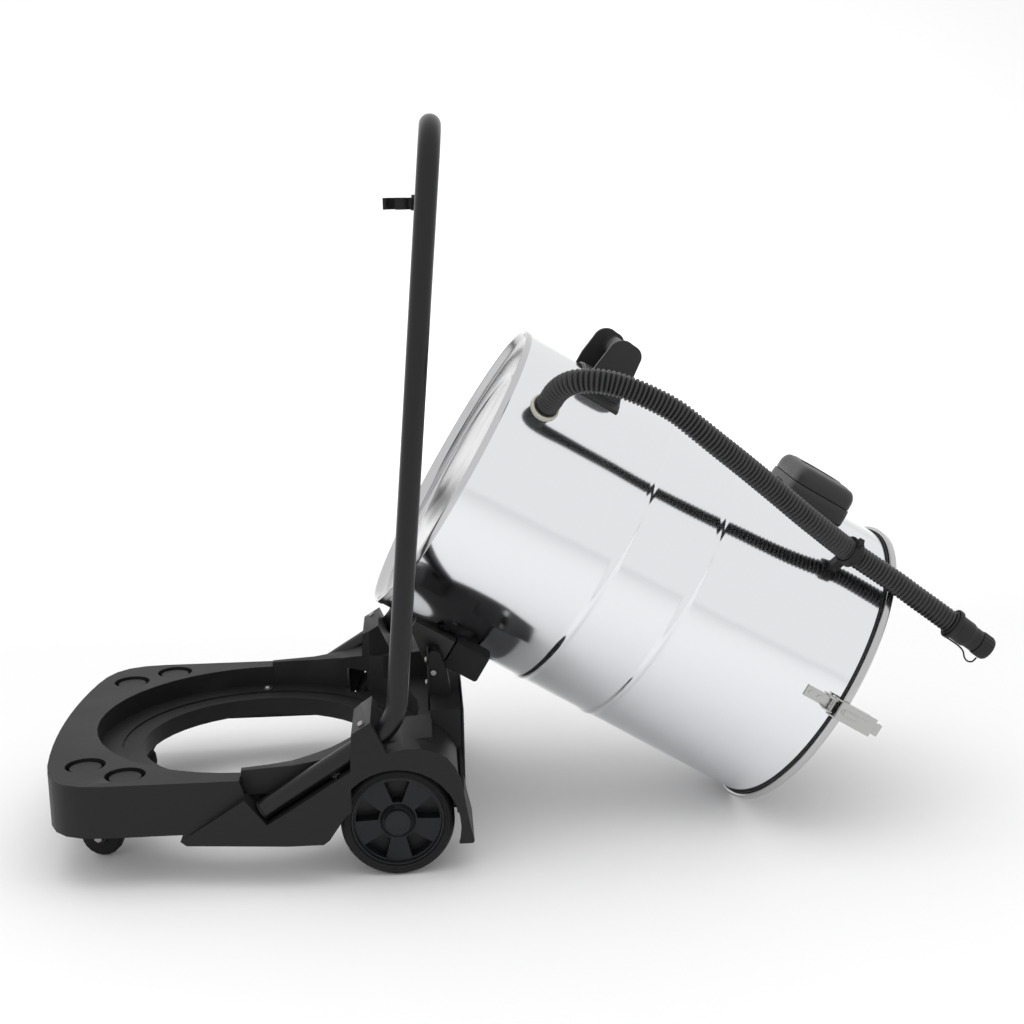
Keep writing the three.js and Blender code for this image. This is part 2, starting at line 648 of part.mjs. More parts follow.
fit('tank_shell', 'mirror_steel', tankShell());
fit('tank_bottom', 'mirror_steel', tankBottom());
fit('rim_band', 'mirror_steel', rimBand());
fit('rim_gasket', 'moulded_black', rimGasket());

// ---- tank side of the hinge ----------------------------------------------------------------------
const PIN_HEIGHT = PIVOT_Z - TANK_BOTTOM;

function wallSolid(clearance) {
  return rod(TANK_RADIUS + clearance, 300, 'z', [0, 0, 150], TANK_SIDES);
}

// A folded steel bracket riveted to the wall, with an ear each side that turns on the pin.
const EAR_INNER = 65;
const EAR_OUTER = 69;

function hingeBracket() {
  const web = box([TANK_RADIUS + 0.6, TANK_RADIUS + 3.4], [-EAR_OUTER, EAR_OUTER], [62, 112]);
  const ear = new THREE.Shape();
  ear.moveTo(205, 62);
  ear.lineTo(TANK_RADIUS + 3.4, 62);
  ear.lineTo(PIVOT_X + 6.5, PIN_HEIGHT - 7.5);
  ear.absarc(PIVOT_X, PIN_HEIGHT, 10, -0.86, Math.PI / 2, false);
  ear.lineTo(205, PIN_HEIGHT + 10);
  const ears = [[-EAR_OUTER, -EAR_INNER], [EAR_INNER, EAR_OUTER]].map(([a, b]) => slab(ear, a, b, 8));
  const bore = rod(PIN_RADIUS + GAP, 200, 'y', [PIVOT_X, 0, PIN_HEIGHT], 24);
  return joined(web, ...ears).subtract(wallSolid(0.5)).subtract(bore);
}

// A moulded block above the ears, as wide as the towers allow: a stop for the tank's swing.
function hingeBlock() {
  const side = outline([[205, 129], [245, 129], [247, 131], [247, 179], [244, 182], [205, 182]]);
  const block = slab(side, -73, 73).add(box([205, 245], [-60, 60], [117, 131]));
  const seats = [-1, 1].map((side) => rod(3, 60, 'x', [232, side * 44, 165], 16));
  return seats.reduce((rest, seat) => rest.subtract(seat), block.subtract(wallSolid(0.5)));
}

fit('hinge_bracket', 'zinc_steel', hingeBracket());
fit('hinge_block', 'moulded_black', hingeBlock());
[-1, 1].forEach((side, i) => {
  const bolt = screw(5.5, 5.5, 2.5, 20).rotate([0, 90, 0]).translate([247 + GAP, side * 44, 165]);
  fit(`block_screw_${i + 1}`, 'black_steel', bolt);
});

// ---- tilt handle, low on the tank's front --------------------------------------------------------
const GRIP_HALF = 96; // half its width, to the cheeks' outer faces

function cheekShape() {
  const cheek = new THREE.Shape();
  cheek.moveTo(-180, 98);
  cheek.lineTo(-232, 97);
  cheek.lineTo(-262, 101);
  cheek.absarc(-262, 122, 21, -Math.PI / 2, -Math.PI, true);
  cheek.lineTo(-282, 130);
  cheek.absarc(-266, 132, 16, Math.PI, Math.PI / 2, true);
  cheek.lineTo(-240, 151);
  cheek.lineTo(-180, 151);
  return cheek;
}

function tiltHandle() {
  const cheeks = [[-GRIP_HALF, -GRIP_HALF + 9], [GRIP_HALF - 9, GRIP_HALF]].map(([a, b]) => (
    slab(cheekShape(), a, b, 8)));
  const grip = new THREE.Shape();
  grip.absellipse(-262, 131, 15, 12, 0, 2 * Math.PI);
  const bar = slab(grip, -GRIP_HALF + 1, GRIP_HALF - 1, 10);
  const apron = slab(outline([[-180, 147], [-262, 147], [-262, 140], [-180, 143]]), -GRIP_HALF, GRIP_HALF);
  const flange = box([-240, -150], [-112, 112], [95, 154]).intersect(wallSolid(4));
  return joined(flange, ...cheeks, bar, apron).subtract(wallSolid(0.5));
}

fit('tilt_handle', 'moulded_black', tiltHandle());

// ---- inlet ---------------------------------------------------------------------------------------
// A rounded block on the tank's front, from one distance to another from the tank's axis.
function inletBlock(length, width, radius, from, to) {
  const blank = plate(roundedRectangle(length, width, radius), from, to, 3);
  return blank.rotate([0, -90, 0]).translate([0, 0, INLET_HEIGHT]);
}

function inletBase() {
  const skirt = inletBlock(96, 152, 14, 150, 231);
  const room = inletBlock(86, 142, 10, 140, 232);
  return skirt.subtract(room).subtract(wallSolidTall(0.5));
}

function wallSolidTall(clearance) {
  return rod(TANK_RADIUS + clearance, 400, 'z', [0, 0, 430], TANK_SIDES);
}

function inletCover() {
  const lower = inletBlock(92, 148, 13, 231 + GAP, 246);
  const upper = inletBlock(84, 140, 12, 246, 252);
  const crown = inletBlock(72, 128, 10, 252, 257);
  const room = inletBlock(80, 136, 8, 230, 246);
  const collar = outFrom(rod(37, 25, 'z', [0, 0, 231 + GAP + 12.5], 24), INLET_HEIGHT, 0);
  const bore = outFrom(rod(30 + GAP, 100, 'z', [0, 0, 240], 24), INLET_HEIGHT, 0);
  return joined(lower, upper, crown).subtract(room).add(collar).subtract(bore);
}

// The socket that the suction hose pushes into; it passes through the wall.
function inletSocket() {
  return outFrom(turned([[26, 196], [30, 196], [30, 254], [26, 254]], 24), INLET_HEIGHT, 0);
}

// Inside the tank a hood turns the incoming flow down the wall.
function deflector() {
  const hood = box([-210, -172], [-46, 46], [INLET_HEIGHT - 46, INLET_HEIGHT + 46]);
  const room = box([-206, -176], [-42, 42], [INLET_HEIGHT - 60, INLET_HEIGHT + 42]);
  const back = outFrom(rod(30 + GAP, 40, 'z', [0, 0, 210], 24), INLET_HEIGHT, 0);
  return hood.subtract(room).subtract(back).intersect(rod(TANK_RADIUS - SHEET - 0.8, 200, 'z', [0, 0, INLET_HEIGHT], TANK_SIDES));
}

fit('inlet_base', 'moulded_black', inletBase());
fit('inlet_cover', 'moulded_black', inletCover());
fit('inlet_socket', 'moulded_black', inletSocket());
fit('inlet_deflector', 'moulded_black', deflector());

// ---- drain ---------------------------------------------------------------------------------------
const STUB_OUT = 228.6; // distance of the stub's collar face from the tank's axis

function drainStub() {
  const profile = [[10, 206], [14, 206], [14, TANK_RADIUS + 2], [17, TANK_RADIUS + 2.4 + 2],
    [17, STUB_OUT], [10, STUB_OUT]];
  return outFrom(turned(profile, 20), STUB_HEIGHT, STUB_ANGLE);
}

function drainSeal() {
  const ring = turned([[14.5, 214], [20.2, 214], [20.2, TANK_RADIUS + 2.6], [19, TANK_RADIUS + 4], [17.5, TANK_RADIUS + 4], [14.5, TANK_RADIUS + 1.6]], 20);
  return outFrom(ring, STUB_HEIGHT, STUB_ANGLE).subtract(rod(TANK_RADIUS + 0.5, 200, 'z', [0, 0, 80], TANK_SIDES));
}

function drainNut() {
  const nut = rod(22, 7, 'z', [0, 0, 211], 6).subtract(rod(14 + GAP, 20, 'z', [0, 0, 211], 20));
  return outFrom(nut, STUB_HEIGHT, STUB_ANGLE);
}

// The hose's route on the tank: height, distance from the axis, degrees from the front towards -Y.
const HOSE_ROUTE = [
  [56, 230.4, 46],
  [56, 239, 46],
  [54.8, 257, 46],
  [57.5, 278, 46],
  [66.5, 296.7, 45.8],
  [85, 312.1, 45.2],
  [107, 320.5, 44.4],
  [132, 325.1, 43.9],
  [161, 327.6, 43.5],
  [197, 327.8, 43.3],
  [237, 323.3, 43.8],
  [266, 318.2, 44],
  [297, 311.5, 43.9],
  [332, 303, 43.7],
  [387, 289, 43.4],
  [424, 280, 43.4],
  [459, 271.3, 43.1],
  [495, 261, 42.4],
  [523, 252.6, 41.5],
  [550, 248.8, 41.2],
  [585, 246.8, 41.5],
  [612, 245.6, 41.9],
  [640, 244.2, 42.6],
  [672, 242.8, 43.3],
  [700, 241.2, 43.9],
];

function hoseCurve() {
  const points = HOSE_ROUTE.map(([height, radius, degrees]) => onTank(height, radius, degrees));
  return new THREE.CatmullRomCurve3(points, false, 'centripetal');
}

function drainHose() {
  return swept(roundShape(HOSE_RADIUS, 0, 10), hoseCurve(), 36);
}

// Pieces on the hose's end are made about Z and then turned to leave along the hose.
function onHoseEnd(solid, gap) {
  const curve = hoseCurve();
  const out = curve.getTangentAt(1);
  const turn = new THREE.Quaternion().setFromUnitVectors(new THREE.Vector3(0, 0, 1), out);
  const spot = curve.getPointAt(1).addScaledVector(out, gap);
  return solid.transform(new THREE.Matrix4().compose(spot, turn, new THREE.Vector3(1, 1, 1)).elements);
}

const CUFF_LENGTH = 50;

function hoseCuff() {
  return turnedToAxis([[0, 0], [17.6, 0], [18.4, 3], [18.4, 34], [16.6, 38], [16.6, CUFF_LENGTH], [0, CUFF_LENGTH]], 20);
}

function drainCap() {
  const from = CUFF_LENGTH + GAP;
  let cap = turnedToAxis([[0, from], [17, from], [17.6, from + 2], [17.6, from + 18], [15.5, from + 21], [0, from + 21]], 24);
  for (let i = 0; i < 12; i += 1) {
    const angle = (i * 2 * Math.PI) / 12;
    cap = cap.subtract(rod(1.1, 30, 'z', [18.2 * Math.cos(angle), 18.2 * Math.sin(angle), from + 12], 6));
  }
  return cap;
}

// The strap: a ring round the cuff, a flat strand along it, and a small loop at the strand's end.
function capStrap() {
  const ring = turned([[18.4 + GAP, 4], [22, 4], [22, 11], [18.4 + GAP, 11]], 20);
  const strand = box([19.2, 21.4], [-2, 2], [10, 47]);
  const loop = turned([[6.4, -1.5], [8.6, -1.5], [8.6, 1.5], [6.4, 1.5]], 16).rotate([90, 0, 0]);
  return joined(ring, strand, loop.translate([27.4, 0, 43]));
}

// A ring round the hose on a short post that stands on the wall, with a small tab outside it.
const CLIP_HEIGHT = 522;

function hoseClip() {
  const curve = hoseCurve();
  const t = nearestOnHose(curve, CLIP_HEIGHT);
  const turn = new THREE.Quaternion().setFromUnitVectors(new THREE.Vector3(0, 0, 1), curve.getTangentAt(t));
  const spot = curve.getPointAt(t);
  const matrix = new THREE.Matrix4().compose(spot, turn, new THREE.Vector3(1, 1, 1));
  const drumOf = (radius, half) => (
    turnedToAxis([[0, -half], [radius, -half], [radius, half], [0, half]], 24).transform(matrix.elements));
  const degrees = THREE.MathUtils.radToDeg(Math.atan2(-spot.y, -spot.x));
  const radius = Math.hypot(spot.x, spot.y);
  const tab = outFrom(box([-4, 4], [-5, 5], [radius + 12, radius + HOSE_RADIUS + 12]), CLIP_HEIGHT, degrees);
  const post = outFrom(box([-6, 6], [-8, 8], [TANK_RADIUS - 4, radius - 12]), CLIP_HEIGHT, degrees);
  const solid = joined(drumOf(HOSE_RADIUS + 4.2, 7), tab, post).subtract(drumOf(HOSE_RADIUS + 1.4, 40));
  return solid.subtract(rod(TANK_RADIUS + 0.5, 200, 'z', [0, 0, CLIP_HEIGHT], TANK_SIDES));
}

function nearestOnHose(curve, height) {
  let [low, high] = [0.3, 1];
  for (let i = 0; i < 40; i += 1) {
    const middle = (low + high) / 2;
    if (curve.getPointAt(middle).z < height) low = middle;
    else high = middle;
  }
  return low;
}

fit('drain_stub', 'moulded_black', drainStub());
fit('drain_seal', 'pale_seal', drainSeal());
fit('drain_nut', 'moulded_black', drainNut());
fit('hose_clip', 'moulded_black', hoseClip());
fit('drain_hose', 'hose_black', drainHose());
fit('hose_cuff', 'hose_black', onHoseEnd(hoseCuff(), GAP));
fit('drain_cap', 'hose_black', onHoseEnd(drainCap(), GAP));
fit('cap_strap', 'hose_black', onHoseEnd(capStrap(), GAP));

// ---- toggle latches on the rim, one each side ----------------------------------------------------
const LATCH_PIN = [-231.5, 594]; // [Y, height] of the lever's pin
const HOOK_PIN = [-232.9, 622];

function latchBase() {
  const foot = box([-8, 8], [-222.8, -220.5], [553, 597]);
  const cheeks = [[-10.2, -8.2], [8.2, 10.2]].map(([a, b]) => box([a, b], [-233, -220.9], [583, 597]));
  const ledge = box([-10.2, 10.2], [-222.8, -220.9], [583, 597]);
  const pin = rod(1.8, 26, 'x', [0, ...LATCH_PIN], 12);
  const rivets = [560, 574].map((z) => rod(3, 1.6, 'y', [0, -223.3, z], 12));
  return joined(foot, ledge, ...cheeks, pin, ...rivets);
}

function latchLever() {
  const face = box([-13.4, 13.4], [-238, -236.2], [602, 658]);
  const flanges = [[-13.4, -11.4], [11.4, 13.4]].map(([a, b]) => box([a, b], [-236.6, -228.8], [591, 648]));
  const bead = box([-5, 5], [-239, -237.6], [610, 646]);
  const bore = rod(1.8 + GAP, 40, 'x', [0, ...LATCH_PIN], 12);
  const pinSeat = rod(1.6, 24, 'x', [0, ...HOOK_PIN], 12);
  return joined(face, ...flanges, bead).subtract(bore).add(pinSeat);
}

function latchHook() {
  const link = box([-8.5, 8.5], [-235.4, -232.9], [622, 669]);
  const lip = box([-8.5, 8.5], [-235.4, -228], [666.6, 669]);
  const eye = rod(2.8, 17, 'x', [0, ...HOOK_PIN], 16);
  const slot = box([-4, 4], [-240, -225], [632, 656]);
  const bore = rod(1.6 + 0.25, 40, 'x', [0, ...HOOK_PIN], 12);
  return joined(link, lip, eye).subtract(slot).subtract(bore);
}

for (const [turnedOver, name] of [[false, 'near'], [true, 'far']]) {
  const set = { latch_base: latchBase(), latch_lever: latchLever(), latch_hook: latchHook() };
  for (const [piece, solid] of Object.entries(set)) {
    fit(`${piece}_${name}`, 'zinc_steel', turnedOver ? mirrored(solid) : solid);
  }
}

export default vacuum;
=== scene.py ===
import json
import math

import bmesh
import bpy
import numpy as np
from mathutils import Matrix, Vector


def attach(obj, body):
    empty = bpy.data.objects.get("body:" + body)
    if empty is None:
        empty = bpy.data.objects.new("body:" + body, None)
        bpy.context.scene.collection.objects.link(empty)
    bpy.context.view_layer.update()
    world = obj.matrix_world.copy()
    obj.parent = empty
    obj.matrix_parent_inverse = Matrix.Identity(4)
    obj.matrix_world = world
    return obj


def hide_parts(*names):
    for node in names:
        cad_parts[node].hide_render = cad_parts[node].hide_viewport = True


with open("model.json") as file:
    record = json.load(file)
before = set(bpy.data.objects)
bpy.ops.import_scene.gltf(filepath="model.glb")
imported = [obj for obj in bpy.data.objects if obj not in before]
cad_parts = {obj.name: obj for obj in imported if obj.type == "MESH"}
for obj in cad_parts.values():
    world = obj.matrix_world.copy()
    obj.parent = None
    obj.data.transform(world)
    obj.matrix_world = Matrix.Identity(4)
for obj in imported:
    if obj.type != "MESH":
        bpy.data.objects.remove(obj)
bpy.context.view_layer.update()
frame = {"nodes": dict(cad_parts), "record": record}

# ---- Camera and studio ---------------------------------------------------------------------------
# The vacuum stands on a pale sweep of board under soft boxes. The camera is a long lens a little
# above the tank, aimed slightly to the right of the push handle.
tilt = next(joint for joint in frame["record"]["behaviour"]["joints"] if joint["name"] == "tank_tilt")
seat_x = tilt["pos_m"][0] - 0.2545  # the middle of the trolley's seat
yaw, pitch, roll = 0.086, -0.214, -0.012
ahead = np.array([math.sin(yaw) * math.cos(pitch), math.cos(yaw) * math.cos(pitch), math.sin(pitch)])
level = np.array([math.cos(yaw), -math.sin(yaw), 0.0])
above = np.cross(level, ahead)
right = level * math.cos(roll) + above * math.sin(roll)
up = above * math.cos(roll) - level * math.sin(roll)
lens = bpy.data.cameras.new("product_camera")
lens.lens = 54.96
lens.shift_x, lens.shift_y = -0.0438, 0.0047
lens.clip_end = 40.0
camera = bpy.data.objects.new("product_camera", lens)
turn = Matrix([[right[i], up[i], -ahead[i]] for i in range(3)]).to_4x4()
camera.matrix_world = Matrix.Translation((seat_x + 0.2494, -2.2172, 0.9143)) @ turn
bpy.context.scene.collection.objects.link(camera)
bpy.context.scene.camera = camera
bpy.context.scene.view_settings.view_transform = "Standard"


class Wire:
    """A socket in a material. Sums and products of wires and numbers add Math nodes for themselves."""

    def __init__(self, tree, socket):
        self.tree, self.socket = tree, socket

    def node(self, kind, settings, links, output=0):
        """Adds a node of a type: its settings go in first, then the value or wire of each input."""
        added = self.tree.nodes.new(kind)
        for key, value in settings.items():
            setattr(added, key, value)
        for key, value in links.items():
            if isinstance(value, Wire):
                self.tree.links.new(value.socket, added.inputs[key])
            else:
                added.inputs[key].default_value = value
        return Wire(self.tree, added.outputs[output])

    def maths(self, operation, first, second):
        """The result of a Math node on two wires or numbers."""
        return self.node("ShaderNodeMath", {"operation": operation}, {0: first, 1: second})

    def __add__(self, other):
        return self.maths("ADD", self, other)

    def __radd__(self, other):
        return self.maths("ADD", other, self)

    def __sub__(self, other):
        return self.maths("SUBTRACT", self, other)

    def __rsub__(self, other):
        return self.maths("SUBTRACT", other, self)

    def __mul__(self, other):
        return self.maths("MULTIPLY", self, other)

    def __rmul__(self, other):
        return self.maths("MULTIPLY", other, self)


def finish(name, colour, roughness, metallic=0.0, coat=0.0, specular=0.5):
    """A new material whose even values sit on the shader. Returns it, its shader and object place."""
    made = bpy.data.materials.new(name)
    made.use_nodes = True
    shader = made.node_tree.nodes["Principled BSDF"]
    even = {"Base Color": (*colour, 1.0), "Roughness": roughness, "Metallic": metallic,
            "Coat Weight": coat, "Coat Roughness": 0.15, "Specular IOR Level": specular}
    for key, value in even.items():
        shader.inputs[key].default_value = value
    place = made.node_tree.nodes.new("ShaderNodeTexCoord").outputs["Object"]
    return made, shader, Wire(made.node_tree, place)


def noise(place, scale, detail=3.0):
    """Cloudy values from 0 to 1, with features about one over the scale across, in metres."""
    return place.node("ShaderNodeTexNoise", {}, {"Vector": place, "Scale": scale, "Detail": detail})


def blend(low, high, amount):
    """A colour that goes from low to high as the amount goes from 0 to 1."""
    return amount.node("ShaderNodeMix", {"data_type": "RGBA"},
                       {0: amount, 6: (*low, 1.0), 7: (*high, 1.0)}, output=2)


def feed(shader, name, wire):
    """Links a wire to one of the shader's inputs."""
    wire.tree.links.new(wire.socket, shader.inputs[name])


def bump(shader, height, strength, distance):
    """Tilts the shader's normal by the slope of a height, which is the distance at the value 1."""
    feed(shader, "Normal", height.node("ShaderNodeBump", {}, {
        "Strength": strength, "Distance": distance, "Height": height}))


# The sweep: one broad sheet that rises behind the object in a gentle curve.
across = np.linspace(-9.0, 9.0, 25)
along = np.linspace(-9.0, 12.0, 85)
depth = along[:, None] + np.zeros(25)
rise = 0.09 * np.maximum(0.0, depth - 5.0) ** 2 - 0.0005
sweep_points = np.stack([across[None, :] + np.zeros((85, 1)), depth, rise], axis=-1)


def skin(name, grid, round_columns=False, round_rows=False, crease=35):
    """A mesh over a grid of points, rows by columns: each cell is one quad, and a round direction
    joins its last line to its first. Points that fall together are merged, and faces turned out."""
    rows, columns = grid.shape[:2]
    i = np.arange(rows if round_rows else rows - 1)[:, None]
    j = np.arange(columns if round_columns else columns - 1)[None, :]
    below, beside = (i + 1) % rows, (j + 1) % columns
    quads = np.stack([i * columns + j, i * columns + beside, below * columns + beside,
                      below * columns + j], axis=-1).reshape(-1, 4)
    mesh = bpy.data.meshes.new(name)
    mesh.from_pydata(grid.reshape(-1, 3).tolist(), [], quads.tolist())
    return tidy_mesh(mesh, crease)


def tidy_mesh(mesh, crease, near=1e-6):
    """Merges doubled points, turns the faces outwards and shades them smooth up to a crease angle."""
    shape = bmesh.new()
    shape.from_mesh(mesh)
    bmesh.ops.remove_doubles(shape, verts=shape.verts, dist=near)
    bmesh.ops.recalc_face_normals(shape, faces=shape.faces)
    shape.to_mesh(mesh)
    shape.free()
    mesh.polygons.foreach_set("use_smooth", np.ones(len(mesh.polygons), bool))
    mesh.set_sharp_from_angle(angle=math.radians(crease))
    return mesh


def show(mesh, material):
    """Puts a mesh in the scene as an object at the origin with its material."""
    mesh.materials.clear()
    mesh.materials.append(material)
    made = bpy.data.objects.new(mesh.name, mesh)
    bpy.context.scene.collection.objects.link(made)
    return made


def piece(mesh, material, body, slot, *stands_for):
    """A finished piece: it rides on a body and may stand for CAD nodes. Its slot is not used."""
    made = show(mesh, material)
    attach(made, body)
    if stands_for:
        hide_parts(*stands_for)
    return made


board, board_shader, board_place = finish("pale_board", (0.86, 0.86, 0.86), 0.75)
bump(board_shader, noise(board_place, 60.0), 0.05, 0.001)
show(skin("studio_sweep", sweep_points), board)


def soft_box(name, spot, aim, width, height, power):
    """A rectangular area light at a spot, turned to face a point. The polished steel doesn't mirror it."""
    light = bpy.data.lights.new(name, "AREA")
    light.shape, light.size, light.size_y, light.energy = "RECTANGLE", width, height, power
    holder = bpy.data.objects.new(name, light)
    holder.location = spot
    holder.rotation_mode = "QUATERNION"
    holder.rotation_quaternion = (Vector(aim) - Vector(spot)).to_track_quat("-Z", "Y")
    holder.visible_glossy = False
    bpy.context.scene.collection.objects.link(holder)


soft_box("top_box", (0.0, -0.4, 3.2), (0.0, 0.0, 0.3), 3.4, 2.6, 30)
soft_box("left_box", (-2.6, -1.6, 1.6), (0.0, 0.0, 0.3), 1.6, 2.4, 10)
soft_box("right_box", (2.8, -1.8, 1.8), (0.1, 0.0, 0.4), 1.6, 2.4, 8)
soft_box("back_box", (0.0, 3.0, 3.6), (0.0, 7.0, 1.2), 5.0, 2.0, 190)
world = bpy.data.worlds.new("studio")
world.use_nodes = True
world.node_tree.nodes["Background"].inputs["Color"].default_value = (1.0, 1.0, 1.0, 1.0)
world.node_tree.nodes["Background"].inputs["Strength"].default_value = 0.95
bpy.context.scene.world = world

# ---- Drain hose ----------------------------------------------------------------------------------
# A ribbed black plastic hose, 33 mm across. It leaves the tank's drain stub, bends over and runs
# down the tank's front to its far end past the rim, where a cuff, a knurled cap and a strap close it.
tip = math.radians(tilt["range_deg"][1])
pin_place = np.array(tilt["pos_m"])
drum_foot = np.array([-0.2545, 0.0, -0.1165])  # from the hinge pin to the upright drum's bottom


def tipped(points):
    """Turns points of the upright drum, whose origin is its bottom's middle, into the tipped drum:
    moved by the foot's offset, turned about Y by the tip angle and moved to the pin."""
    x, y, z = np.moveaxis(np.asarray(points, float) + drum_foot, -1, 0)
    turned_x = x * math.cos(tip) + z * math.sin(tip)
    turned_z = z * math.cos(tip) - x * math.sin(tip)
    return np.stack([turned_x, y, turned_z], axis=-1) + pin_place


def on_drum(height, radius, degrees):
    """A point on the drum: height above its bottom, distance from its axis, and degrees round from
    its front towards the hose's side."""
    angle = np.radians(degrees)
    upright = np.stack(np.broadcast_arrays(-radius * np.cos(angle), -radius * np.sin(angle), height), -1)
    return tipped(upright)


hose_rows = np.array([
    [0.056, 0.2304, 46], [0.056, 0.239, 46], [0.0548, 0.257, 46], [0.0575, 0.278, 46],
    [0.0665, 0.2967, 45.8], [0.085, 0.3121, 45.2], [0.107, 0.3205, 44.4], [0.132, 0.3251, 43.9],
    [0.161, 0.3276, 43.5], [0.197, 0.3278, 43.3], [0.237, 0.3233, 43.8], [0.266, 0.3182, 44],
    [0.297, 0.3115, 43.9], [0.332, 0.303, 43.7], [0.387, 0.289, 43.4], [0.424, 0.28, 43.4],
    [0.459, 0.2713, 43.1], [0.495, 0.261, 42.4], [0.523, 0.2526, 41.5], [0.55, 0.2488, 41.2],
    [0.585, 0.2468, 41.5], [0.612, 0.2456, 41.9], [0.64, 0.2442, 42.6], [0.672, 0.2428, 43.3],
    [0.7, 0.2412, 43.9]])
hose_radius = 0.0165
rib_pitch = 0.0061


def smooth_line(points, per_span):
    """A Catmull-Rom line through the points, with spans timed by the root of their length: each
    span is the cubic between two points whose slopes come from the points on either side."""
    ends = np.vstack([2 * points[0] - points[1], points, 2 * points[-1] - points[-2]])
    p0, p1, p2, p3 = ends[:-3], ends[1:-2], ends[2:-1], ends[3:]
    gap = [np.sqrt(np.linalg.norm(b - a, axis=1))[:, None] for a, b in ((p0, p1), (p1, p2), (p2, p3))]
    slope_1 = ((p1 - p0) / gap[0] - (p2 - p0) / (gap[0] + gap[1]) + (p2 - p1) / gap[1]) * gap[1]
    slope_2 = ((p2 - p1) / gap[1] - (p3 - p1) / (gap[1] + gap[2]) + (p3 - p2) / gap[2]) * gap[1]
    t = np.linspace(0, 1, per_span, endpoint=False)[None, :, None]
    a, b, c, d = (q[:, None, :] for q in (p1, slope_1, p2, slope_2))
    line = (2 * t**3 - 3 * t**2 + 1) * a + (t**3 - 2 * t**2 + t) * b + (3 * t**2 - 2 * t**3) * c \
        + (t**3 - t**2) * d
    return np.vstack([line.reshape(-1, 3), points[-1]])


def even_steps(line, step):
    """The same line with points a step apart along it, and each point's distance from the start."""
    run = np.concatenate([[0], np.cumsum(np.linalg.norm(np.diff(line, axis=0), axis=1))])
    distance = np.linspace(0, run[-1], max(2, round(run[-1] / step) + 1))
    return np.stack([np.interp(distance, run, line[:, k]) for k in range(3)], axis=-1), distance


def rails(line):
    """Two unit vectors square to the line at each point, turned as little as possible on the way:
    each step removes from the last vector its part along the new direction."""
    ahead_of = np.gradient(line, axis=0)
    ahead_of /= np.linalg.norm(ahead_of, axis=1)[:, None]
    side = np.cross(ahead_of[0], [0.31, 0.52, 0.79])
    sides = []
    for direction in ahead_of:
        side = side - direction * (side @ direction)
        side = side / np.linalg.norm(side)
        sides.append(side)
    sides = np.array(sides)
    return sides, np.cross(ahead_of, sides)


def tube(line, radius, around):
    """A ring of points about each point of the line: cosine along one rail and sine along the
    other, times a radius that may change with the distance and with the angle."""
    first, second = rails(line)
    angle = np.linspace(0, 2 * math.pi, around, endpoint=False)[None, :, None]
    spread = np.broadcast_to(radius, (len(line), around))[:, :, None]
    outwards = np.cos(angle) * first[:, None, :] + np.sin(angle) * second[:, None, :]
    return line[:, None, :] + spread * outwards


def capped(rings):
    """The rings with a point at each end's middle, so that both ends close."""
    ends = [np.broadcast_to(ring.mean(axis=0), ring.shape)[None] for ring in (rings[0], rings[-1])]
    return np.concatenate([ends[0], rings, ends[1]])


hose_line, hose_run = even_steps(smooth_line(on_drum(*hose_rows.T), 24), rib_pitch / 8)
ripple = 0.5 + 0.5 * np.cos(2 * math.pi * hose_run / rib_pitch)
hose_radii = hose_radius - 0.0034 * (1 - ripple**0.5)
hose_rings = tube(hose_line, hose_radii[:, None], 36)

hose_black, shader, place = finish("hose_plastic", (0.012, 0.012, 0.013), 0.36, specular=0.5)
dusty = noise(place, 45.0)
feed(shader, "Base Color", blend((0.010, 0.010, 0.011), (0.022, 0.022, 0.023), dusty))
feed(shader, "Roughness", 0.28 + 0.16 * dusty)
bump(shader, noise(place, 900.0, 2.0), 0.12, 0.0004)
hose = piece(skin("ribbed_drain_hose", capped(hose_rings), round_columns=True), hose_black, "tank",
             "hose_black", "drain_hose")

# The cuff is a smooth moulded sleeve screwed on the hose's end. The knurled cap screws on the
# cuff, and its strap is a thick ring round the cuff with a thin strand that bows out to the cap.
end_point = hose_line[-1]
end_ahead = hose_line[-1] - hose_line[-2]
end_ahead /= np.linalg.norm(end_ahead)
end_side = np.cross(end_ahead, [0.0, 0.0, 1.0])
end_side /= np.linalg.norm(end_side)
end_up = np.cross(end_side, end_ahead)


def lathe(profile, around, centre, axis, first, second, wave=None):
    """A turned surface: each (radius, distance) of the profile goes round the axis, with cosine
    along the first direction and sine along the second. A wave may change the radii."""
    radius, distance = np.asarray(profile, float).T
    angle = np.linspace(0, 2 * math.pi, around, endpoint=False)[None, :]
    spread = radius[:, None] * np.ones_like(angle)
    if wave is not None:
        spread = wave(spread, angle)
    return (np.asarray(centre) + distance[:, None, None] * np.asarray(axis)
            + (spread * np.cos(angle))[..., None] * np.asarray(first)
            + (spread * np.sin(angle))[..., None] * np.asarray(second))


def rounded(profile, radius, steps=4, closed=False):
    """The profile with each corner cut to a small arc: a quadratic curve from a radius before the
    corner to a radius after it, with the corner as its control point."""
    corners = np.asarray(profile, float)
    before, after = np.roll(corners, 1, axis=0), np.roll(corners, -1, axis=0)
    reach_1 = np.linalg.norm(before - corners, axis=1, keepdims=True)
    reach_2 = np.linalg.norm(after - corners, axis=1, keepdims=True)
    start = corners + (before - corners) * np.minimum(0.45, radius / np.maximum(reach_1, 1e-9))
    stop = corners + (after - corners) * np.minimum(0.45, radius / np.maximum(reach_2, 1e-9))
    t = np.linspace(0, 1, steps)[None, :, None]
    arcs = (1 - t)**2 * start[:, None] + 2 * t * (1 - t) * corners[:, None] + t**2 * stop[:, None]
    if closed:
        return arcs.reshape(-1, corners.shape[1])
    return np.vstack([corners[:1], arcs[1:-1].reshape(-1, corners.shape[1]), corners[-1:]])


